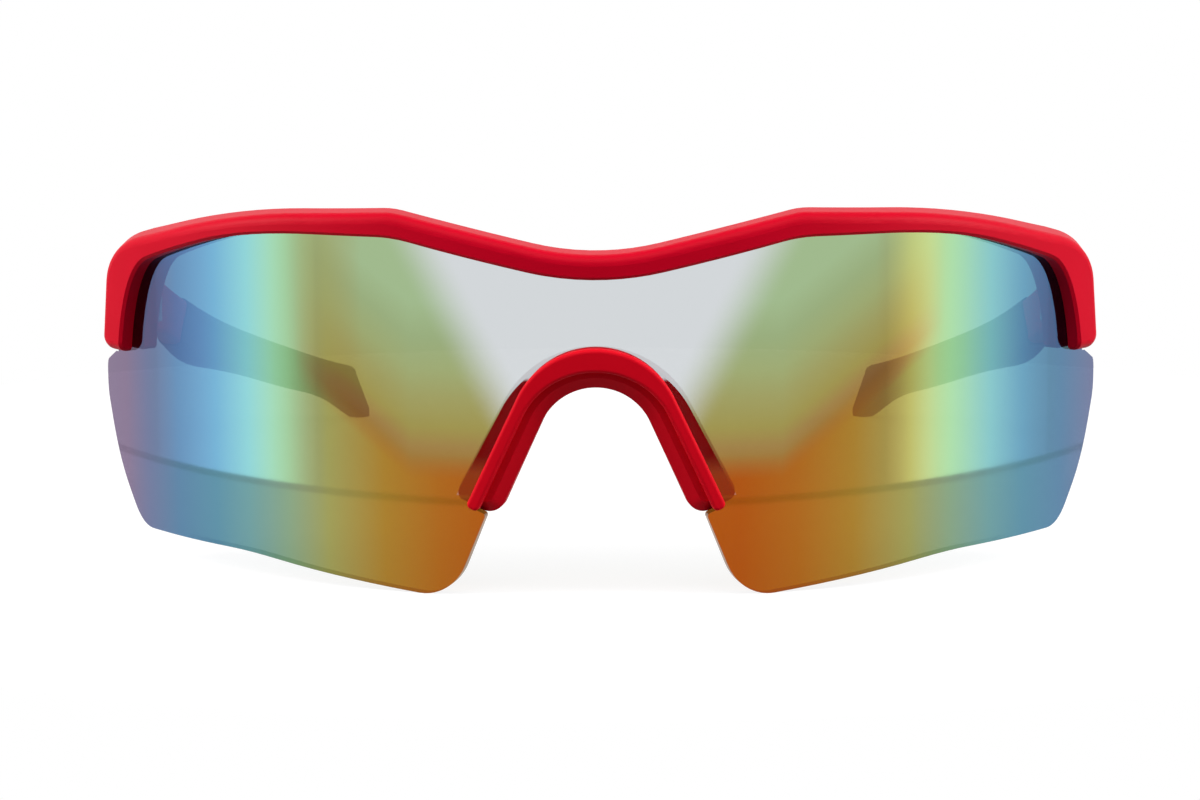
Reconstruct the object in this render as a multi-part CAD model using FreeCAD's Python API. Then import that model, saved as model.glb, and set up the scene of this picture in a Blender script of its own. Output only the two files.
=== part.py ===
import FreeCAD, Part
import math
import os

# Half-rim shield sunglasses, open, standing on the two lower tips of the lens and the two arm tips.
# Millimetres. The glasses face -Y, the arms run to +Y, +Z is up, +X is the wearer's left.
# The front is modelled with the middle of the lens face at y = 0 and is moved into place at the end.

V = FreeCAD.Vector

# Lens: a piece of a cylinder with an upright axis behind it.
# Places along the front are angles round that axis, in degrees from the middle.
lens_radius = 88.0
lens_thickness = 2.0
lens_bite = 1.8
lens_clearance = 0.05
shoulder_gap = 0.5
shoulder_angle = 55.6
shoulder_round = 1.6
widest_z = 23.7
lens_edge_round = 5.0
lens_side_angle = 53.6
lens_side_z = 14.2
lens_side_round = 50.0
lens_corner_angle = 49.4
lens_corner_z = 4.6
lens_corner_round = 22.0
lens_knee_angle = 34.3
lens_knee_z = 3.75
lens_knee_round = 150.0
lens_tip_x = 20.3
lens_tip_z = -0.57
lens_tip_round = 7.0
notch_shoulder_x = 15.4
notch_round = 0.5
leg_gap = 0.1

# Brow frame, seen from the front
lip = 2.2
back_wall = 2.2
valley_z = 47.3
valley_round = 40.0
kink_angle = 18.8
kink_z = 53.75
kink_round = 10.0
temple_angle = 35.6
temple_z = 52.5
temple_round = 75.0
corner_angle = 54.5
corner_z = 45.7
corner_round = 8.0
end_angle = 55.8
end_z = 30.15
end_round = 2.0
band_height = 3.45
temple_band = 2.35
window_temple_angle = 32.9
window_corner_angle = 50.8
window_corner_z = 42.0
window_corner_round = 20.0
window_end_angle = 52.2
window_kink_round = 25.0
window_temple_round = 180.0
front_top_round = 1.5
front_low_chamfer = 0.4

# End-pieces and arms
end_length = 7.7
butt_gap = 0.2
arm_angle = 52.9
root_thickness = 4.2
root_top = 41.6
root_length = 23.0
end_slope_z = 48.0
end_fall = 0.3
arm_length = 117.0
arm_bow_radius = 259.0
arm_thickness = 3.4
arm_edge_round = 1.1
# (share of the arm's length, lower edge, upper edge)
arm_stations = [
    (0.0, end_z, root_top),
    (0.06, 29.4, 40.3),
    (0.15, 28.2, 37.3),
    (0.25, 25.8, 33.6),
    (0.36, 20.7, 29.5),
    (0.48, 17.3, 25.1),
    (0.64, 13.1, 19.7),
    (0.80, 8.2, 14.4),
    (0.92, 3.9, 10.5),
    (1.0, -0.6, 8.2),
]

# Grips: rubber sleeves over a thinner tang of the arm
grip_wall = 0.8
grip_proud = 0.25
grip_clearance = 0.05
grip_top_start = 49.0
grip_low_start = 33.0
grip_lap = 4.0
tang_end_wall = 4.0
tip_slant = 5.0

# Nosepiece: an arch with straight legs, wider at its crown than down the legs
bridge_crown_z = 34.75
bridge_radius = 12.0
leg_lean = 25.3
crown_ridge_width = 3.15
leg_ridge_width = 1.8
ridge_proud = 1.7
ridge_round = 0.5
ridge_end_round = 0.75
crown_strip_width = 2.35
leg_strip_width = 2.55
strip_depth = 1.4
strip_chamfer = 1.6
crown_bite = 1.5
leg_bite = 0.9
leg_end_x = 18.1
leg_end_z = 12.9
leg_corner_round = 2.6
pad_crown_z = 34.5
pad_radius = 14.8
pad_lean = 27.5
pad_depth = 7.0
pad_flare = 1.8
pad_corner_round = 1.2

# Hinges: five knuckles on a screw, on the inner side of the butt joint
hinge_inset = 1.2
hinge_z = 35.8
knuckle_radius = 1.5
knuckle_height = 1.2
knuckle_gap = 0.06
knuckle_clearance = 0.3
pin_radius = 0.65
pin_clearance = 0.05
leaf_thickness = 0.8
leaf_cover = 0.5
leaf_length = 7.0
leaf_clearance = 0.05
neck_gap = 0.15
screw_head_radius = 0.95
screw_head_height = 0.7
screw_slot = 0.35

frame_front_radius = lens_radius + lip
frame_back_radius = lens_radius - lens_thickness - back_wall
lens_back_radius = lens_radius - lens_thickness
shoulder_depth = lens_radius * (1 - math.cos(math.radians(shoulder_angle)))
butt_y = shoulder_depth + end_length
arm_start_y = butt_y + butt_gap
hinge_y = butt_y + butt_gap / 2
stack_height = 5 * knuckle_height + 4 * knuckle_gap
stack_z = hinge_z - stack_height / 2
high = 2 * lens_radius
on_line = 0.02


def across(angle):
    """Distance from the middle plane of a place along the front."""
    return lens_radius * math.sin(math.radians(angle))


arm_middle_x = across(arm_angle)
arm_inner_x = arm_middle_x - root_thickness / 2
hinge_x = arm_inner_x - hinge_inset


def rounded_wire(points):
    """Closed wire in the XZ plane through (x, z, corner radius) points."""
    edges = []
    last = None
    first = None
    count = len(points)
    for i in range(count):
        x, z, radius = points[i]
        here = V(x, 0, z)
        before = V(points[i - 1][0], 0, points[i - 1][1])
        after = V(points[(i + 1) % count][0], 0, points[(i + 1) % count][1])
        to_before = (before - here).normalize()
        to_after = (after - here).normalize()
        start = end = here
        if radius > 0:
            half = to_before.getAngle(to_after) / 2
            reach = radius / math.tan(half)
            start = here + to_before * reach
            end = here + to_after * reach
            inward = (to_before + to_after).normalize()
            middle = here + inward * (radius / math.sin(half) - radius)
        if last is not None and (start - last).Length > 1e-6:
            edges.append(Part.LineSegment(last, start).toShape())
        if radius > 0:
            edges.append(Part.Arc(start, middle, end).toShape())
        first = first or start
        last = end
    if (first - last).Length > 1e-6:
        edges.append(Part.LineSegment(last, first).toShape())
    return Part.Wire(edges)


def mirrored(points):
    """Right-hand points followed by their mirror image, for a loop that crosses the middle."""
    return points + [(-x, z, r) for x, z, r in reversed(points) if abs(x) > 1e-9]


def seen_from_axis(x):
    """Where a point of the lens face at x lands on the plane y = 0, along a line from the lens axis."""
    return x / math.sqrt(1 - (x / lens_radius) ** 2)


def flat_wire(points):
    """Outline of points on the lens face, drawn on the plane y = 0."""
    return rounded_wire([(math.copysign(seen_from_axis(abs(x)), x), z, r) for x, z, r in points])


def radial_block(points):
    """Solid whose walls run square to the lens: the outline, narrowing towards the lens axis."""
    flat = flat_wire(points)
    wires = []
    for depth in (-lens_radius / 4, lens_radius * 0.75):
        narrowing = FreeCAD.Matrix()
        narrowing.A11 = (lens_radius - depth) / lens_radius
        wire = flat.transformGeometry(narrowing)
        wire.translate(V(0, depth, 0))
        wires.append(wire)
    return Part.makeLoft(wires, True, True)


def ring(inner, outer):
    base = V(0, lens_radius, -high / 2)
    return Part.makeCylinder(outer, 2 * high, base).cut(Part.makeCylinder(inner, 2 * high, base))


def front_prism(points):
    """Solid with the outline seen from the front, running straight back."""
    return Part.Face(rounded_wire(points)).extrude(V(0, 2 * high, 0)).translate(V(0, -high / 2, 0))


def side_prism(points):
    """Solid with the outline of (y, z) points seen from the side, right across the glasses."""
    loop = Part.makePolygon([V(-high, y, z) for y, z in points + points[:1]])
    return Part.Face(loop).extrude(V(2 * high, 0, 0))


def side_band(start, end):
    return side_prism([(start, 0), (end, 0), (end, high), (start, high)])


def arch_curve(drop, inset):
    """(apex, lean, radius) of an arch inside the ridge: drop lower at its crown, inset narrower at its legs."""
    sine = math.sin(math.radians(leg_lean))
    apex = bridge_crown_z - bridge_radius + (bridge_radius - inset) / sine
    crown = bridge_crown_z - drop
    return apex, leg_lean, (apex - crown) * sine / (1 - sine)


def leg_line_z(x, gap):
    """Height at x of the line that ends the legs of the nosepiece, or of one parallel to it below."""
    lean = math.radians(leg_lean)
    return leg_end_z + (math.sin(lean) * (x - leg_end_x) - gap) / math.cos(lean)


def leg_end(curve, gap):
    """Where a leg that starts at the apex of a curve meets the end line."""
    apex, lean, radius = curve
    slope = math.tan(math.radians(lean))
    rise = math.tan(math.radians(leg_lean))
    z = (leg_line_z(0, gap) + rise * slope * apex) / (1 + rise * slope)
    return slope * (apex - z), z


def arch_loop(outer, inner, outer_round, inner_round):
    """Closed outline of an arch between two curves."""
    return mirrored([(0, outer[0], outer[2]), leg_end(outer, 0) + (outer_round,),
                     leg_end(inner, 0) + (inner_round,), (0, inner[0], inner[2])])


def lens_outline(grown):
    """Lens edge on the lens face; grown widens the hidden edge for the groove that takes it."""
    bite = lens_bite + grown
    bite_x = bite * math.sqrt(1 - (window_points[4][0] / lens_radius) ** 2)
    shoulder_x = across(shoulder_angle)
    shoulder_z = end_z - shoulder_gap
    notch = arch_curve(crown_bite - lens_clearance, leg_bite - lens_clearance)
    hidden = [(x, z + bite, r) for x, z, r in window_points[:3]]
    corner_x, corner_z, corner_r = window_points[3]
    return mirrored(hidden + [
        (corner_x + bite_x, corner_z + bite, corner_r),
        (window_points[4][0] + bite_x, shoulder_z, 0),
        (shoulder_x - shoulder_round, shoulder_z, shoulder_round / 2),
        (shoulder_x, shoulder_z - shoulder_round, shoulder_round),
        (shoulder_x, widest_z, lens_edge_round),
        (across(lens_side_angle), lens_side_z, lens_side_round),
        (across(lens_corner_angle), lens_corner_z, lens_corner_round),
        (across(lens_knee_angle), lens_knee_z, lens_knee_round),
        (lens_tip_x, lens_tip_z, lens_tip_round),
        (notch_shoulder_x, leg_line_z(notch_shoulder_x, leg_gap), notch_round),
        leg_end(notch, leg_gap) + (notch_round,),
        (0, notch[0], notch[2]),
    ])


def pad_curve():
    sine = math.sin(math.radians(pad_lean))
    return pad_crown_z - pad_radius + pad_radius / sine, pad_lean, pad_radius


def front_edges(solid, radius, points):
    """Edges of the face with this radius that lie on the outline, given on the lens face."""
    outline = flat_wire(points)
    found = []
    for face in solid.Faces:
        if face.Surface.TypeId != "Part::GeomCylinder" or abs(face.Surface.Radius - radius) > on_line:
            continue
        for edge in face.Edges:
            spot = edge.valueAt((edge.FirstParameter + edge.LastParameter) / 2)
            shadow = V(spot.x * lens_radius / (lens_radius - spot.y), 0, spot.z)
            if outline.distToShape(Part.Vertex(shadow))[0] < on_line:
                found.append(edge)
    return found


def only_solid(shape):
    solids = shape.Solids
    if len(solids) != 1 or not solids[0].isValid():
        raise ValueError("expected one sound solid, found %d" % len(solids))
    return solids[0]


def make_brow_frame():
    wide = across(end_angle) + lip
    front_y = lens_radius - math.sqrt(frame_front_radius ** 2 - wide ** 2)
    inner_y = lens_radius - math.sqrt(frame_back_radius ** 2 - arm_inner_x ** 2)
    end_loop = [(wide, front_y), (wide, butt_y), (arm_inner_x, butt_y), (arm_inner_x, inner_y)]
    right = Part.makePolygon([V(x, y, 0) for x, y in end_loop])
    left = Part.makePolygon([V(-x, y, 0) for x, y in reversed(end_loop)])
    front = Part.Arc(V(-wide, front_y, 0), V(0, -lip, 0), V(wide, front_y, 0)).toShape()
    back_middle = V(0, lens_radius - frame_back_radius, 0)
    back = Part.Arc(V(arm_inner_x, inner_y, 0), back_middle, V(-arm_inner_x, inner_y, 0)).toShape()
    plan = Part.Face(Part.Wire([front] + right.Edges + [back] + left.Edges)).extrude(V(0, 0, high))
    blank = only_solid(plan.common(front_prism(mirrored(brow_points))))
    rim = [f for f in blank.Faces if f.Surface.TypeId == "Part::GeomCylinder"
           and abs(f.Surface.Radius - frame_front_radius) < on_line]
    blank = only_solid(blank.makeFillet(front_top_round, rim[0].OuterWire.Edges))
    # the top of each end-piece falls towards the arm
    slope_start = inner_y - lens_thickness - back_wall
    end_top = root_top - end_fall
    above = side_prism([(slope_start, end_slope_z), (butt_y, end_top), (2 * butt_y, end_top),
                        (2 * butt_y, high), (slope_start, high)])
    window = mirrored(window_points)
    frame = only_solid(blank.cut(above).cut(radial_block(window)))
    frame = only_solid(frame.makeChamfer(front_low_chamfer, front_edges(frame, frame_front_radius, window)))
    groove = ring(lens_back_radius - lens_clearance, lens_radius + lens_clearance)
    return frame.cut(groove.common(radial_block(lens_outline(lens_clearance))))


def make_lens():
    return ring(lens_back_radius, lens_radius).common(radial_block(lens_outline(0)))


def make_nosepiece():
    ridge_outer = arch_curve(0, 0)
    crease = arch_curve(crown_ridge_width, leg_ridge_width)
    inner_drop = crown_ridge_width + crown_strip_width
    inner_inset = leg_ridge_width + leg_strip_width
    inner = arch_curve(inner_drop, inner_inset)
    ridge_loop = arch_loop(ridge_outer, crease, ridge_end_round, ridge_end_round)
    ridge_front = lens_radius + ridge_proud
    ridge = only_solid(ring(lens_radius + lens_clearance, ridge_front).common(radial_block(ridge_loop)))
    ridge = ridge.makeFillet(ridge_round, front_edges(ridge, ridge_front, ridge_loop))
    # the web fills the notch of the lens; its inner edge is cut back to a sloping strip below the ridge
    web_loop = arch_loop(arch_curve(crown_bite, leg_bite), inner, 0, leg_corner_round)
    web_front = lens_radius + 2 * lens_clearance
    web = only_solid(ring(lens_back_radius - strip_depth, web_front).common(radial_block(web_loop)))
    inner_line = mirrored([(0, inner[0], inner[2]), leg_end(inner, 0) + (0,)])
    web = only_solid(web.makeChamfer(strip_chamfer, front_edges(web, web_front, inner_line)))
    pads = []
    for flare, depth in ((0, 0), (pad_flare, pad_depth)):
        saddle = arch_curve(inner_drop - flare, inner_inset - flare)
        loop = arch_loop(pad_curve(), saddle, pad_corner_round, leg_corner_round)
        pads.append(rounded_wire(loop).translate(V(0, depth, 0)))
    pad = Part.makeLoft(pads, True, True)
    pad = pad.common(Part.makeCylinder(lens_back_radius - lens_clearance, high, V(0, lens_radius, 0)))
    return ridge.fuse([web, pad]).removeSplitter()


def along_arm(distance):
    """Plan position and heading of the arm's middle line at a distance from the butt joint."""
    angle = distance / arm_bow_radius
    inward = arm_bow_radius * (1 - math.cos(angle))
    return arm_middle_x - inward, arm_start_y + arm_bow_radius * math.sin(angle), math.degrees(angle)


def arm_y(distance):
    return along_arm(distance)[1]


def arm_section(share, low, top, inset):
    """Rounded rectangle across the arm at a share of its length."""
    distance = share * arm_length
    x, y, heading = along_arm(distance)
    root = max(0.0, 1 - distance / root_length)
    half = (arm_thickness + (root_thickness - arm_thickness) * root) / 2 - inset
    reach = (top - low) / 2 - inset
    corner = arm_edge_round - inset
    wire = rounded_wire([(i * half, j * reach, corner) for i, j in ((-1, -1), (1, -1), (1, 1), (-1, 1))])
    wire.rotate(V(0, 0, 0), V(0, 0, 1), heading)
    return wire.translate(V(x, y, (low + top) / 2))


def arm_body(inset):
    return Part.makeLoft([arm_section(share, low, top, inset) for share, low, top in arm_stations], True)


def make_arm_and_grip():
    tip_y = arm_y(arm_length)
    below = -high / 2
    # the grip starts on a slanted line, lower edge first, and ends on another above the tip
    start_line = [(arm_y(grip_low_start), arm_stations[3][1]), (arm_y(grip_top_start), root_top)]
    behind = side_prism([(start_line[0][0], below)] + start_line + [(2 * tip_y, root_top), (2 * tip_y, below)])
    slant_y = tip_y - tip_slant
    grip_side = side_prism([(start_line[0][0], 0)] + start_line
                           + [(slant_y, root_top), (slant_y, arm_stations[-1][2]), (tip_y, 0)])
    tang_start = arm_y(grip_low_start) - grip_lap
    tang_end = slant_y - tang_end_wall
    tang = arm_body(grip_wall).common(side_band(tang_start, tang_end))
    room = arm_body(grip_wall - grip_clearance).common(side_band(tang_start, tang_end + grip_clearance))
    grip = arm_body(-grip_proud).common(grip_side).cut(room)
    return arm_body(0).cut(behind).fuse(tang), grip


def leaf_boxes(side, spare):
    """Necks and plate of one hinge leaf: side -1 sits in the frame, 1 in the arm. spare makes room for them."""
    plate_x = arm_inner_x + leaf_cover
    neck_start = hinge_y + side * (butt_gap / 2 + neck_gap)
    neck_end = neck_start + side * knuckle_radius
    boxes = []
    for z in knuckle_heights(side):
        boxes.append(((hinge_x, plate_x + leaf_thickness), (neck_start, neck_end), (z, z + knuckle_height)))
    plate_end = neck_end + side * leaf_length
    boxes.append(((plate_x, plate_x + leaf_thickness), (neck_end, plate_end), (stack_z, stack_z + stack_height)))
    solids = []
    for spans in boxes:
        low = [min(span) - spare for span in spans]
        size = [max(span) + spare - start for span, start in zip(spans, low)]
        solids.append(Part.makeBox(*size, V(*low)))
    return solids


def knuckle_heights(side):
    """Bottoms of the frame's three knuckles, or of the arm's two between them."""
    first = 0 if side < 0 else 1
    return [stack_z + i * (knuckle_height + knuckle_gap) for i in range(first, 5, 2)]


def make_leaf(side):
    barrels = [Part.makeCylinder(knuckle_radius, knuckle_height, V(hinge_x, hinge_y, z))
               for z in knuckle_heights(side)]
    boxes = leaf_boxes(side, 0)
    leaf = boxes[0].fuse(boxes[1:] + barrels).removeSplitter()
    return leaf.cut(Part.makeCylinder(pin_radius + pin_clearance, stack_height, V(hinge_x, hinge_y, stack_z)))


def hinge_room(side):
    """What the plastic leaves free: a seat for the leaf, and room for the turning knuckles."""
    turning = Part.makeCylinder(knuckle_radius + knuckle_clearance, stack_height + 2 * knuckle_clearance,
                                V(hinge_x, hinge_y, stack_z - knuckle_clearance))
    return turning.fuse(leaf_boxes(side, leaf_clearance))


def make_screw():
    shank = Part.makeCylinder(pin_radius, stack_height, V(hinge_x, hinge_y, stack_z))
    head_z = stack_z + stack_height
    head = Part.makeCylinder(screw_head_radius, screw_head_height, V(hinge_x, hinge_y, head_z))
    slot_base = V(hinge_x - 2 * screw_head_radius, hinge_y - screw_slot / 2, head_z + screw_head_height / 2)
    slot = Part.makeBox(4 * screw_head_radius, screw_slot, screw_head_height, slot_base)
    return shank.fuse(head).cut(slot).removeSplitter()


window_points = [
    (0, valley_z - band_height, valley_round + band_height),
    (across(kink_angle) * lens_radius / frame_front_radius, kink_z - band_height, window_kink_round),
    (across(window_temple_angle), temple_z - temple_band, window_temple_round),
    (across(window_corner_angle), window_corner_z, window_corner_round),
    (across(window_end_angle), -high / 4, 0),
]
brow_points = [
    (0, valley_z, valley_round),
    (across(kink_angle), kink_z, kink_round),
    (across(temple_angle), temple_z, temple_round),
    (across(corner_angle), corner_z, corner_round),
    (across(end_angle), end_z, end_round),
]

middle = V(0, 0, 0)
sideways = V(1, 0, 0)
arm, grip = make_arm_and_grip()
frame_room = hinge_room(-1)
pieces = {
    "brow_frame": make_brow_frame().cut([frame_room, frame_room.mirror(middle, sideways)]),
    "shield_lens": make_lens(),
    "nosepiece": make_nosepiece(),
}
for_each_side = {
    "arm": arm.cut(hinge_room(1)),
    "arm_grip": grip,
    "frame_hinge": make_leaf(-1),
    "arm_hinge": make_leaf(1),
    "hinge_screw": make_screw(),
}
for name, shape in for_each_side.items():
    pieces[name + "_left"] = shape
    pieces[name + "_right"] = shape.mirror(middle, sideways)

# the origin is under the middle of the open glasses
place = V(0, (lip - arm_y(arm_length)) / 2, 0)
os.makedirs("parts", exist_ok=True)
for name, shape in pieces.items():
    solid = only_solid(shape)
    solid.translate(place)
    solid.exportStep("parts/%s.step" % name)
    print(name, "volume %.1f" % solid.Volume)
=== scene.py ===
# %% [markdown]
# # Red half-rim shield sunglasses
# The solids come from a CAD model and are already in place: a brow frame, one curved lens, a nosepiece,
# two folding arms with rubber grips, and two small hinges. They could be modelled here once more, but then
# the looks and the solids might drift apart. So this lesson only gives each solid its finish, and sets up
# the camera and the light. Lengths are in metres, the glasses face -Y and +Z is up.

# %% Load the frame
import math

import bmesh
import bpy
from mathutils import Matrix, Vector


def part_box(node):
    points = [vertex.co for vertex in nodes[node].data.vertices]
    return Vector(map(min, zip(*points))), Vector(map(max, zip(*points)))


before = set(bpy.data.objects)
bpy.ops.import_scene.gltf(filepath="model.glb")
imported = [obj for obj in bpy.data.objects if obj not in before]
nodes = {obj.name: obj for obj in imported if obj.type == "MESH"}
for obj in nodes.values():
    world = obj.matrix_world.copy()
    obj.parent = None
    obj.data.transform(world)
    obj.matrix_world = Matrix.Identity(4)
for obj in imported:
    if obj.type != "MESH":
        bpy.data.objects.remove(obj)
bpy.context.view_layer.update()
print("nodes:", ", ".join(sorted(nodes)))

# %% [markdown]
# A few helpers are enough for every finish below. Colours are written as sRGB hex values, as a paint chart
# gives them, and Blender's sockets want linear light, so one function converts them. Another adds a node,
# fills its inputs with links or plain values and gives back its output, so a material reads like a recipe.

# %% Helpers
MM = 0.001


def linear(hex_colour):
    parts = [int(hex_colour[i:i + 2], 16) / 255 for i in (1, 3, 5)]
    return [c / 12.92 if c <= 0.04045 else ((c + 0.055) / 1.055) ** 2.4 for c in parts] + [1.0]


def add_node(tree, kind, inputs=None, stops=(), **settings):
    """Add a node and give back its first live output; an input is a socket to link or a value."""
    node = tree.nodes.new("ShaderNode" + kind)
    for name, value in settings.items():
        setattr(node, name, value)
    for name, value in (inputs or {}).items():
        if isinstance(value, bpy.types.NodeSocket):
            tree.links.new(value, node.inputs[name])
        else:
            node.inputs[name].default_value = value
    for i, (position, colour) in enumerate(stops):
        elements = node.color_ramp.elements
        stop = elements[i] if i < 2 else elements.new(position)
        stop.position = position
        stop.color = colour
    return next((socket for socket in node.outputs if not socket.is_unavailable), None)


def new_material(name):
    material = bpy.data.materials.new(name)
    material.use_nodes = True
    material.node_tree.nodes.clear()
    return material, material.node_tree


def dress(material, *names):
    for name in names:
        slots = nodes[name].data.materials
        slots.clear()
        slots.append(material)
        print(name, "wears", material.name)


print("mid grey #808080 is %.3f in linear light" % linear("#808080")[0])

# %% [markdown]
# The brow frame and the arms are injection moulded nylon in a strong red. The mould is spark eroded, which
# leaves a fine satin grain: highlights are broad and soft, and never sharp. The grain is far finer than any
# mesh, so it isn't modelled: a fine noise in bump and in roughness gives it. A second, slower noise keeps
# the colour from being perfectly even.

# %% Satin red nylon
GRAIN_MM = 0.35
CLOUD_MM = 14.0
ROUGHNESS_SPREAD = 0.06


def satin_red(name, hex_light, hex_deep, roughness):
    material, tree = new_material(name)
    place = add_node(tree, "TexCoord").node.outputs["Object"]
    # grain as fine as the real one would not show, so it is drawn a little coarser
    grain = add_node(tree, "TexNoise", {"Vector": place, "Scale": 1 / (GRAIN_MM * MM),
                                        "Detail": 2.0, "Roughness": 0.6})
    cloud = add_node(tree, "TexNoise", {"Vector": place, "Scale": 1 / (CLOUD_MM * MM), "Detail": 2.0})
    tone = add_node(tree, "Mix", {"Factor": cloud, "A": linear(hex_deep), "B": linear(hex_light)},
                    data_type="RGBA")
    rough = add_node(tree, "MapRange", {"Value": grain, "To Min": roughness - ROUGHNESS_SPREAD,
                                        "To Max": roughness + ROUGHNESS_SPREAD})
    bump = add_node(tree, "Bump", {"Height": grain, "Strength": 0.12, "Distance": 0.02 * MM})
    skin = add_node(tree, "BsdfPrincipled", {"Base Color": tone, "Roughness": rough, "Normal": bump,
                                             "IOR": 1.5, "Specular IOR Level": 0.06})
    add_node(tree, "OutputMaterial", {"Surface": skin})
    return material


nylon = satin_red("moulded_nylon_satin_red", "#cc0024", "#be001c", 0.45)
dress(nylon, "brow_frame", "arm_left", "arm_right")

# %% [markdown]
# The nosepiece is softer: a thermoplastic rubber in a slightly lighter red, with a duller skin. It comes out
# of a mould like that of the frame, so the same function makes it, with other colours and more roughness.

# %% Soft red rubber
soft_red = satin_red("thermoplastic_rubber_satin_red", "#e0061f", "#d0021a", 0.5)
dress(soft_red, "nosepiece")

# %% [markdown]
# The grips are moulded black rubber with a matt skin. Black rubber is never quite black: a little dust and a
# broad sheen lift it. One flat black would hide the shape, so two dark greys are mixed by a slow noise, and
# fine pores break up the bump and the high roughness.

# %% Matt black rubber
PORE_MM = 0.5
BLOOM_MM = 9.0

rubber, tree = new_material("moulded_rubber_matt_black")
place = add_node(tree, "TexCoord").node.outputs["Object"]
# real pores are finer and would not show
pores = add_node(tree, "TexNoise", {"Vector": place, "Scale": 1 / (PORE_MM * MM), "Detail": 3.0})
bloom = add_node(tree, "TexNoise", {"Vector": place, "Scale": 1 / (BLOOM_MM * MM), "Detail": 2.0})
tone = add_node(tree, "Mix", {"Factor": bloom, "A": linear("#121213"), "B": linear("#1c1c1e")},
                data_type="RGBA")
rough = add_node(tree, "MapRange", {"Value": pores, "To Min": 0.55, "To Max": 0.75})
bump = add_node(tree, "Bump", {"Height": pores, "Strength": 0.2, "Distance": 0.03 * MM})
skin = add_node(tree, "BsdfPrincipled", {"Base Color": tone, "Roughness": rough, "Normal": bump,
                                         "IOR": 1.52, "Specular IOR Level": 0.3})
add_node(tree, "OutputMaterial", {"Surface": skin})
dress(rubber, "arm_grip_left", "arm_grip_right")

# %% [markdown]
# The hinge leaves are stamped stainless steel and the screws are turned from it. Fine lines run round the
# barrels. They could be drawn on a UV map, but a noise that is squeezed along Z gives such lines across
# the pin without one.

# %% Bright steel
LINE_MM = 1.5
LINE_SQUEEZE = 12.0

steel, tree = new_material("stainless_steel_bright")
place = add_node(tree, "TexCoord").node.outputs["Object"]
squeezed = add_node(tree, "Mapping", {"Vector": place, "Scale": (1.0, 1.0, LINE_SQUEEZE)})
lines = add_node(tree, "TexNoise", {"Vector": squeezed, "Scale": 1 / (LINE_MM * MM), "Detail": 3.0})
rough = add_node(tree, "MapRange", {"Value": lines, "To Min": 0.2, "To Max": 0.4})
skin = add_node(tree, "BsdfPrincipled", {"Base Color": linear("#b4b4b6"), "Roughness": rough,
                                         "Metallic": 1.0})
add_node(tree, "OutputMaterial", {"Surface": skin})
dress(steel, *(name for name in nodes if "hinge" in name))

# %% [markdown]
# The lens is grey polycarbonate with a rainbow mirror coat, a stack of thin films laid down in a vacuum. The
# films are thickest beside the nose and thin out to the ends, so the mirrored colour runs from orange
# through olive, green and blue to violet. The coat sits a few millimetres off centre. The films could be
# worked out from their thickness, but a colour ramp over the distance from that line is easier to match.

# %% Rainbow across the lens
COAT_CENTRE_MM = 3.2
COAT_REACH_MM = 75.0
RAINBOW_MM = [(17, "#ae5408"), (25, "#ad6718"), (33, "#a9802c"), (41, "#9f9d58"), (47, "#88a585"),
              (53, "#70a0a2"), (58, "#5f93a9"), (64, "#5d86a8"), (69, "#717a9e"), (72.5, "#877592")]

lens, tree = new_material("polycarbonate_rainbow_mirror")
place = add_node(tree, "TexCoord").node.outputs["Object"]
split = add_node(tree, "SeparateXYZ", {"Vector": place}).node.outputs
height = split["Z"]
side = add_node(tree, "Math", {0: split["X"]}, operation="ABSOLUTE")
shifted = add_node(tree, "Math", {0: split["X"], 1: COAT_CENTRE_MM * MM}, operation="SUBTRACT")
off_centre = add_node(tree, "Math", {0: shifted}, operation="ABSOLUTE")
share = add_node(tree, "Math", {0: off_centre, 1: COAT_REACH_MM * MM}, operation="DIVIDE")
rainbow = add_node(tree, "ValToRGB", {"Fac": share},
                   [(mm / COAT_REACH_MM, linear(colour)) for mm, colour in RAINBOW_MM])
print("rainbow of", len(RAINBOW_MM), "colours")

# %% [markdown]
# Above the nose the colour passes through a halo of olive and pale green to silver. Both are painted light:
# they stand in for the white backdrop seen through the upper lens and for what the lens mirrors there. The
# lower edge of the halo is level beside the nose and then climbs. A second ramp, over the height above that
# edge, is laid over the rainbow and fades out to the sides. The silver comes in over it across a steep, soft
# slope.

# %% Painted halo and silver above the nose
HALO_LOW_MM = 16.3
HALO_KNEE_MM = 26.0
HALO_SLOPE = 0.77
HALO_SOFT_MM = 3.5
HALO_SIDE_MM = (36.0, 46.0)
HALO_REACH_MM = 26.0
HALO_MM = [(0, "#a66a2c"), (3, "#a07a3b"), (4.6, "#a18248"), (7.4, "#a0954f"), (11.5, "#a09f62"),
           (15.5, "#9fab74"), (20, "#9cb080"), (25, "#a3bc90")]
SILVER_SLOPE = 1.87
SILVER_SOFT_MM = (-6.0, 11.0)

past_knee = add_node(tree, "Math", {0: side, 1: HALO_KNEE_MM * MM}, operation="SUBTRACT")
climb = add_node(tree, "Math", {0: past_knee, 1: 0.0}, operation="MAXIMUM")
halo_edge = add_node(tree, "Math", {0: climb, 1: HALO_SLOPE, 2: HALO_LOW_MM * MM}, operation="MULTIPLY_ADD")
halo = add_node(tree, "Math", {0: height, 1: halo_edge}, operation="SUBTRACT")
share = add_node(tree, "Math", {0: halo, 1: HALO_REACH_MM * MM}, operation="DIVIDE")
painted_halo_colour = add_node(tree, "ValToRGB", {"Fac": share},
                       [(mm / HALO_REACH_MM, linear(colour)) for mm, colour in HALO_MM])
from_edge = add_node(tree, "MapRange", {"Value": halo, "From Max": HALO_SOFT_MM * MM})
to_sides = add_node(tree, "MapRange", {"Value": off_centre, "From Min": HALO_SIDE_MM[0] * MM,
                                       "From Max": HALO_SIDE_MM[1] * MM, "To Min": 1.0, "To Max": 0.0})
in_halo = add_node(tree, "Math", {0: from_edge, 1: to_sides}, operation="MULTIPLY")
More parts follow.
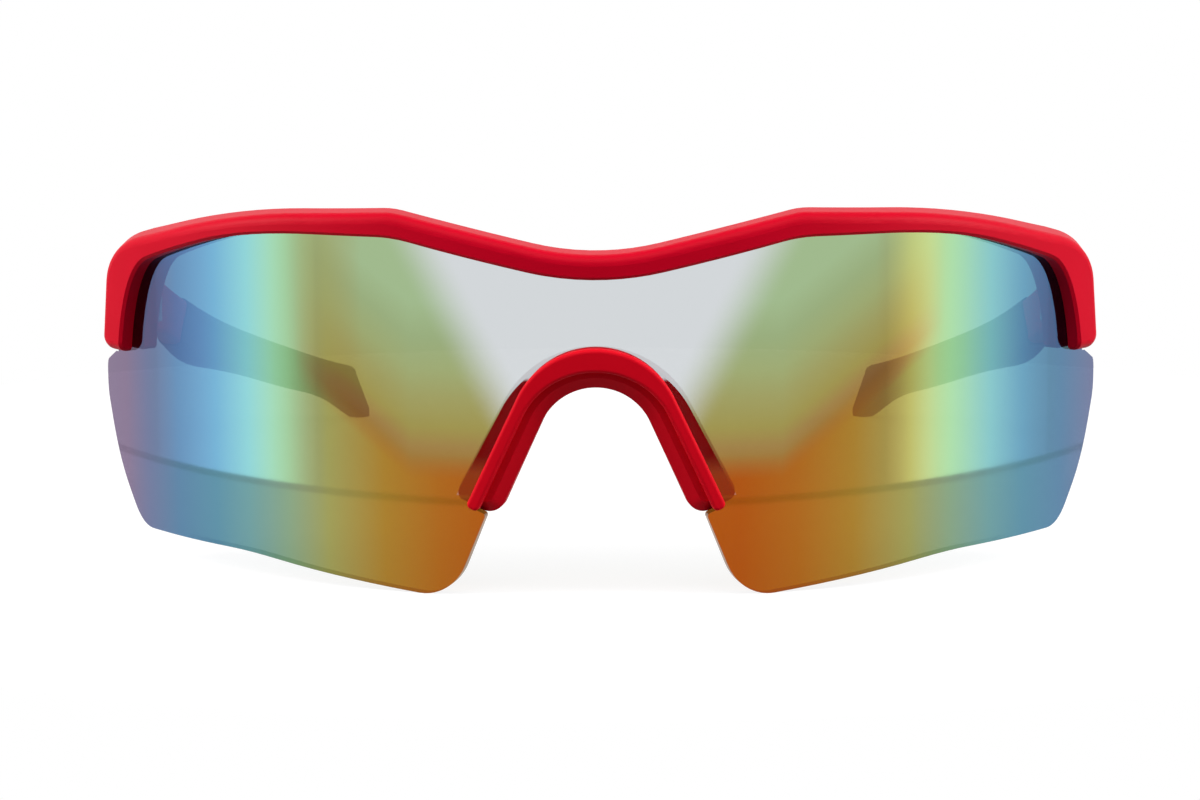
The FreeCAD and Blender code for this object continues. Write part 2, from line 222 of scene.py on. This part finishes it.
# painted light: the paler halo over the rainbow stands in for the backdrop seen through the upper lens
films_and_painted_halo = add_node(tree, "Mix", {"Factor": in_halo, "A": rainbow, "B": painted_halo_colour}, data_type="RGBA")
above_slope = add_node(tree, "Math", {0: side, 1: -SILVER_SLOPE, 2: height}, operation="MULTIPLY_ADD")
silver = add_node(tree, "MapRange", {"Value": above_slope, "From Min": SILVER_SOFT_MM[0] * MM,
                                     "From Max": SILVER_SOFT_MM[1] * MM}, interpolation_type="SMOOTHSTEP")
# painted light: the silver grey stands in for the white backdrop seen through the lens above the nose
coat_and_painted_light = add_node(tree, "Mix", {"Factor": silver, "A": films_and_painted_halo, "B": linear("#d5d9dc")}, data_type="RGBA")
print("halo of", len(HALO_MM), "colours under the silver")

# %% [markdown]
# The coat is masked off where the flange of the nosepiece lies behind the lens, so the flange shows through
# as a dark red border beside the nose. That dark red is painted shade, laid on the lens for the flange that
# lies dim behind it. Its arch is a circle with two straight legs. A painted mask would do, but this one
# follows from a few sizes of the nosepiece: a point is inside when it is inside the legs, and also inside the
# circle or below it. The border fades at the ends of the legs and stops under the crown.

# %% Border beside the nose, with painted shade
ARCH_LEAN = math.radians(27.5)
ARCH_RADIUS_MM = 14.8
ARCH_CENTRE_MM = 19.7
LEG_END_MM = 14.2
LEG_FADE_MM = (17.0, 20.0)
LEG_END_SHARE = 0.35
CROWN_FADE_MM = (30.4, 31.0)

legs_apex_mm = ARCH_CENTRE_MM + ARCH_RADIUS_MM / math.sin(ARCH_LEAN)
tangent_rise_mm = ARCH_RADIUS_MM * math.sin(ARCH_LEAN)
below_apex = add_node(tree, "Math", {0: legs_apex_mm * MM, 1: height}, operation="SUBTRACT")
leg_line = add_node(tree, "Math", {0: below_apex, 1: math.tan(ARCH_LEAN)}, operation="MULTIPLY")
in_legs = add_node(tree, "Math", {0: leg_line, 1: side}, operation="GREATER_THAN")
rise = add_node(tree, "Math", {0: height, 1: ARCH_CENTRE_MM * MM}, operation="SUBTRACT")
from_centre = add_node(tree, "CombineXYZ", {"X": side, "Y": rise})
span = add_node(tree, "VectorMath", {0: from_centre}, operation="LENGTH")
in_circle = add_node(tree, "Math", {0: span, 1: ARCH_RADIUS_MM * MM}, operation="LESS_THAN")
below_circle = add_node(tree, "Math", {0: rise, 1: tangent_rise_mm * MM}, operation="LESS_THAN")
in_round = add_node(tree, "Math", {0: in_circle, 1: below_circle}, operation="MAXIMUM")
above_end = add_node(tree, "Math", {0: height, 1: LEG_END_MM * MM}, operation="GREATER_THAN")
leg_fade = add_node(tree, "MapRange", {"Value": height, "From Min": LEG_FADE_MM[0] * MM,
                                       "From Max": LEG_FADE_MM[1] * MM, "To Min": LEG_END_SHARE})
crown_fade = add_node(tree, "MapRange", {"Value": height, "From Min": CROWN_FADE_MM[0] * MM,
                                         "From Max": CROWN_FADE_MM[1] * MM, "To Min": 1.0, "To Max": 0.0})
# this mask lets the flange show through and also carries its painted shade
flange_window_and_painted_shade = in_legs
for limit in (in_round, above_end, leg_fade, crown_fade):
    flange_window_and_painted_shade = add_node(tree, "Math", {0: flange_window_and_painted_shade, 1: limit}, operation="MULTIPLY")
print("flange shows from", LEG_END_MM, "to", CROWN_FADE_MM[1], "mm up")

# %% [markdown]
# Only the front of the lens carries the coat. The back and the cut edge have none. Each wall could have a
# material of its own, but the mesh of a solid is left as it is. The lens is part of a cylinder, so the angle
# between the surface and the line from its axis tells the walls apart: it points outwards on the front,
# inwards on the back and across on the cut edge.

# %% Front, back and cut edge
LENS_RADIUS_MM = 88.0
SLANT = 0.5

lens_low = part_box("shield_lens")[0]
axis_y = lens_low.y + LENS_RADIUS_MM * MM
depth = add_node(tree, "Math", {0: split["Y"], 1: axis_y}, operation="SUBTRACT")
from_axis = add_node(tree, "CombineXYZ", {"X": split["X"], "Y": depth})
outward = add_node(tree, "VectorMath", {0: from_axis}, operation="NORMALIZE")
surface = add_node(tree, "NewGeometry").node.outputs
seen = add_node(tree, "VectorMath", {0: outward, 1: surface["Normal"]}, operation="DOT_PRODUCT")
# the normal is turned towards the ray where a wall is met from inside the lens
turned = add_node(tree, "MapRange", {"Value": surface["Backfacing"], "To Min": 1.0, "To Max": -1.0})
facing = add_node(tree, "Math", {0: seen, 1: turned}, operation="MULTIPLY")
squareness = add_node(tree, "Math", {0: facing}, operation="ABSOLUTE")
cut_edge = add_node(tree, "Math", {0: squareness, 1: SLANT}, operation="LESS_THAN")
back_face = add_node(tree, "Math", {0: facing, 1: -SLANT}, operation="LESS_THAN")
coated = add_node(tree, "Math", {0: facing, 1: SLANT}, operation="GREATER_THAN")
print("axis of the lens at y = %.1f mm" % (axis_y / MM))

# %% [markdown]
# The mirror lets some light through, which shows the arms behind it. That light crosses the grey sheet and
# lies as a veil over the mirrored colour, so the veil is taken off the colour of the mirror first. It is at
# most a set share of a colour, so that deep colours stay deep. A shader that bends light could do this, but a
# thin sheet hardly bends any, and plain transparency gives a cleaner picture.

# %% Mirror and veil
THROUGH = 0.36
GREY_VEIL = 0.15
VEIL_SHARE = 0.55

most_veil = add_node(tree, "VectorMath", {0: coat_and_painted_light, "Scale": VEIL_SHARE}, operation="SCALE")
veil = add_node(tree, "VectorMath", {0: most_veil, 1: [GREY_VEIL] * 3}, operation="MINIMUM")
above_veil = add_node(tree, "VectorMath", {0: coat_and_painted_light, 1: veil}, operation="SUBTRACT")
mirror = add_node(tree, "VectorMath", {0: above_veil, "Scale": 1 / (1 - THROUGH)}, operation="SCALE")
passed = add_node(tree, "VectorMath", {0: veil, "Scale": 1 / THROUGH}, operation="SCALE")
print("mirror lets %.0f %% through" % (100 * THROUGH))

# %% [markdown]
# Now the walls of the lens come together. The bare border is painted a dark red, the painted shade of the
# flange behind it, the cut edge beside the nose is dark, and towards the ends the cut edge turns clear, as
# polished plastic does. A thin hard coat and faint smudges keep the mirror from looking like a perfect one.

# %% Rainbow mirror lens
CLEAR_EDGE_MM = (40.0, 60.0)
BORDER_CLEARNESS = 0.85
MOST_CLEAR = 0.9
SMUDGE_MM = 12.0

# painted shade: dark red on the lens for the flange that lies dim behind it
painted_flange_shade = add_node(tree, "Mix", {"Factor": flange_window_and_painted_shade, "A": mirror, "B": linear("#900000")}, data_type="RGBA")
edged = add_node(tree, "Mix", {"Factor": cut_edge, "A": painted_flange_shade, "B": linear("#26242a")}, data_type="RGBA")
tone = add_node(tree, "Mix", {"Factor": back_face, "A": edged, "B": linear("#1c1c1e")}, data_type="RGBA")
to_ends = add_node(tree, "MapRange", {"Value": side, "From Min": CLEAR_EDGE_MM[0] * MM,
                                      "From Max": CLEAR_EDGE_MM[1] * MM})
clear_edge = add_node(tree, "Math", {0: cut_edge, 1: to_ends}, operation="MULTIPLY")
clear_border = add_node(tree, "Math", {0: flange_window_and_painted_shade, 1: BORDER_CLEARNESS}, operation="MULTIPLY")
uncoated = add_node(tree, "Math", {0: back_face, 1: clear_edge}, operation="MAXIMUM")
clearness = add_node(tree, "Math", {0: clear_border, 1: uncoated}, operation="MAXIMUM")
clear_share = add_node(tree, "Math", {0: clearness, 1: MOST_CLEAR}, operation="MULTIPLY")
open_share = add_node(tree, "Math", {0: THROUGH, 1: clear_share}, operation="MAXIMUM")
smudges = add_node(tree, "TexNoise", {"Vector": place, "Scale": 1 / (SMUDGE_MM * MM), "Detail": 4.0})
rough = add_node(tree, "MapRange", {"Value": smudges, "From Min": 0.3, "From Max": 0.7,
                                    "To Min": 0.03, "To Max": 0.06})
skin = add_node(tree, "BsdfPrincipled", {"Base Color": tone, "Metallic": coated, "Roughness": rough,
                                         "IOR": 1.58, "Coat Weight": 0.2, "Coat IOR": 1.5,
                                         "Coat Roughness": 0.02})
tint = add_node(tree, "Mix", {"Factor": clearness, "A": passed, "B": linear("#ffffff")}, data_type="RGBA")
clear = add_node(tree, "BsdfTransparent", {"Color": tint})
sheet = add_node(tree, "MixShader", {0: open_share, 1: skin, 2: clear})
add_node(tree, "OutputMaterial", {"Surface": sheet})
dress(lens, "shield_lens")

# %% [markdown]
# The photograph looks slightly down on the glasses from the front, with a long lens. The camera could be
# placed by coordinates, but angles and a distance from the middle of the lens face are easier to match: it
# stands 0.6 m away, 9 degrees above and a little to the wearer's left.

# %% Camera
AIM_X_MM = 0.6
AIM_Z_MM = 27.95
AZIMUTH = math.radians(0.9)
ELEVATION = math.radians(9.0)
ROLL = math.radians(-0.2)
DISTANCE = 0.6
FOCAL_PIXELS = 4330
IMAGE_WIDTH = 1200

scene = bpy.context.scene
aim = Vector((AIM_X_MM * MM, lens_low.y, AIM_Z_MM * MM))
flat = math.cos(ELEVATION)
back = Vector((flat * math.sin(AZIMUTH), -flat * math.cos(AZIMUTH), math.sin(ELEVATION)))
camera = bpy.data.objects.new("camera", bpy.data.cameras.new("camera"))
camera.location = aim + back * DISTANCE
turn = (-back).to_track_quat("-Z", "Y").to_matrix() @ Matrix.Rotation(ROLL, 3, "Z")
camera.rotation_euler = turn.to_euler()
camera.data.sensor_width = 36.0
camera.data.lens = FOCAL_PIXELS / IMAGE_WIDTH * camera.data.sensor_width
camera.data.clip_start = 0.01
scene.collection.objects.link(camera)
scene.camera = camera
print("camera at", [round(c, 3) for c in camera.location], "lens %.1f mm" % camera.data.lens)

# %% [markdown]
# The glasses stand in the middle of a round table top of white paper. More lamps could make the paper white,
# but would wash out the red. So a plain grey takes the light and the shadow of the glasses, and a glow on top
# makes it white for the camera and in mirrors. A narrow ring along the edge glows less in mirrors: it is a
# painted shadow along the edge of the table, which draws the thin grey line across the lens.

# %% Table
TABLE_RADIUS = 0.1585
TABLE_CENTRE = (0.0005, 0.005, -0.00005)
TABLE_EDGE = 0.006
PAPER = 0.2
GLOW = 0.86
MIRRORED_GLOW = 0.74
# painted shadow: the ring along the table's edge glows less in mirrors
MIRRORED_EDGE_SHADOW_GLOW = 0.4


def white_paper(name, mirrored_glow):
    material, tree = new_material(name)
    path = add_node(tree, "LightPath").node.outputs
    direct = add_node(tree, "Math", {0: path["Is Camera Ray"], 1: path["Is Transmission Ray"]},
                      operation="MAXIMUM")
    direct_glow = add_node(tree, "Math", {0: direct, 1: GLOW}, operation="MULTIPLY")
    glow = add_node(tree, "Math", {0: path["Is Glossy Ray"], 1: mirrored_glow, 2: direct_glow},
                    operation="MULTIPLY_ADD")
    diffuse = add_node(tree, "BsdfDiffuse", {"Color": (PAPER, PAPER, PAPER, 1.0)})
    lift = add_node(tree, "Emission", {"Strength": glow})
    lifted = add_node(tree, "AddShader", {0: diffuse, 1: lift})
    add_node(tree, "OutputMaterial", {"Surface": lifted})
    return material


table_mesh = bpy.data.meshes.new("table_top")
work = bmesh.new()
bmesh.ops.create_circle(work, cap_ends=True, segments=128, radius=TABLE_RADIUS,
                        matrix=Matrix.Translation(TABLE_CENTRE))
# painted shadow: a narrow ring along the edge of the table
shadow_ring = bmesh.ops.inset_individual(work, faces=work.faces[:], thickness=TABLE_EDGE)["faces"]
for face in shadow_ring:
    face.material_index = 1
work.to_mesh(table_mesh)
work.free()
table_mesh.materials.append(white_paper("white_paper_matt", MIRRORED_GLOW))
table_mesh.materials.append(white_paper("white_paper_painted_edge_shadow", MIRRORED_EDGE_SHADOW_GLOW))
table = bpy.data.objects.new("table_top", table_mesh)
scene.collection.objects.link(table)
print("round table top, %.0f mm across" % (2 * TABLE_RADIUS / MM))

# %% [markdown]
# The room is white. The camera sees it so, directly and through the lens, and mirrors see it so below the
# horizon and behind the glasses. Everything else gets only a faint light from it, because a white room on
# all sides would leave no shading.

# %% White room
FAINT_LIGHT = 0.12

world = bpy.data.worlds.new("white_room")
world.use_nodes = True
tree = world.node_tree
tree.nodes.clear()
path = add_node(tree, "LightPath").node.outputs
direction = add_node(tree, "TexCoord").node.outputs["Generated"]
heading = add_node(tree, "SeparateXYZ", {"Vector": direction}).node.outputs
below = add_node(tree, "Math", {0: heading["Z"], 1: 0.0}, operation="LESS_THAN")
behind = add_node(tree, "Math", {0: heading["Y"], 1: 0.0}, operation="GREATER_THAN")
around = add_node(tree, "Math", {0: below, 1: behind}, operation="MAXIMUM")
mirrored = add_node(tree, "Math", {0: around, 1: path["Is Glossy Ray"]}, operation="MULTIPLY")
direct = add_node(tree, "Math", {0: path["Is Camera Ray"], 1: path["Is Transmission Ray"]},
                  operation="MAXIMUM")
shown = add_node(tree, "Math", {0: direct, 1: mirrored}, operation="MAXIMUM")
strength = add_node(tree, "MapRange", {"Value": shown, "To Min": FAINT_LIGHT})
sky = add_node(tree, "Background", {"Color": linear("#ffffff"), "Strength": strength})
add_node(tree, "OutputWorld", {"Surface": sky})
scene.world = world
print("room gives", FAINT_LIGHT, "of white light")

# %% [markdown]
# A tall soft box stands on either side and reaches below the table. Its cloth is brightest along a line near
# its front edge, which draws a soft upright band on each side of the lens. An area lamp has one even
# brightness, so the cloth is a glowing sheet with a ramp across it. The camera doesn't see the sheets, so
# they never stand in front of a side view.

# %% Soft boxes at the sides
BOX_DISTANCE = 0.8
BOX_ANGLE = math.radians(80.3)
BOX_WIDTH = 0.61
BOX_LOW, BOX_HIGH = -0.35, 0.45
BOX_PROFILE = [(0.0, 0.0), (0.03, 0.0), (0.15, 0.45), (0.28, 1.0), (0.5, 0.8), (0.75, 0.4), (1.0, 0.0)]
BOX_EXTRA = 1.8


def side_box(name, sign):
    centre = Vector((sign * BOX_DISTANCE * math.sin(BOX_ANGLE),
                     aim.y - BOX_DISTANCE * math.cos(BOX_ANGLE), 0.0))
    along = Vector((sign * math.cos(BOX_ANGLE), math.sin(BOX_ANGLE), 0.0))
    work = bmesh.new()
    corners = []
    for share, z in ((-0.5, BOX_LOW), (0.5, BOX_LOW), (0.5, BOX_HIGH), (-0.5, BOX_HIGH)):
        corners.append(work.verts.new(centre + along * (share * BOX_WIDTH) + Vector((0.0, 0.0, z))))
    work.faces.new(corners)
    mesh = bpy.data.meshes.new(name)
    work.to_mesh(mesh)
    work.free()
    material, tree = new_material(name + "_cloth")
    place = add_node(tree, "TexCoord").node.outputs["Object"]
    shifted = add_node(tree, "VectorMath", {0: place, 1: centre}, operation="SUBTRACT")
    across = add_node(tree, "VectorMath", {0: shifted, 1: along}, operation="DOT_PRODUCT")
    share = add_node(tree, "MapRange", {"Value": across, "From Min": -BOX_WIDTH / 2,
                                        "From Max": BOX_WIDTH / 2})
    profile = add_node(tree, "ValToRGB", {"Fac": share},
                       [(position, (level, level, level, 1.0)) for position, level in BOX_PROFILE])
    profile.node.color_ramp.interpolation = "B_SPLINE"
    bright = add_node(tree, "Math", {0: profile, 1: BOX_EXTRA, 2: 1.0}, operation="MULTIPLY_ADD")
    glow = add_node(tree, "Emission", {"Strength": bright})
    add_node(tree, "OutputMaterial", {"Surface": glow})
    mesh.materials.append(material)
    box = bpy.data.objects.new(name, mesh)
    box.visible_camera = False
    scene.collection.objects.link(box)
    print(name, "stands", BOX_DISTANCE, "m away")


side_box("soft_box_left", -1)
side_box("soft_box_right", 1)

# %% [markdown]
# A broad soft box hangs above the front, and a smaller one high on either side brightens the ends of the
# frame. These only have to light the glasses, so plain area lamps do.

# %% Soft boxes above


def area_lamp(name, place, width, depth, watts):
    lamp = bpy.data.lights.new(name, "AREA")
    lamp.shape = "RECTANGLE"
    lamp.size = width
    lamp.size_y = depth
    lamp.energy = watts
    holder = bpy.data.objects.new(name, lamp)
    holder.location = place
    holder.rotation_euler = (Vector(place) - aim).to_track_quat("Z", "Y").to_euler()
    scene.collection.objects.link(holder)
    print(name, "gives", watts, "W")


area_lamp("soft_box_top", (0.0, -0.42, 0.78), width=0.9, depth=0.6, watts=4.4)
area_lamp("soft_box_high_left", (-0.7, -0.15, 0.45), width=0.4, depth=0.4, watts=5.0)
area_lamp("soft_box_high_right", (0.7, -0.15, 0.45), width=0.4, depth=0.4, watts=5.0)

# %% [markdown]
# The Standard view transform shows the colours as they are written.

# %% View transform
scene.view_settings.view_transform = "Standard"
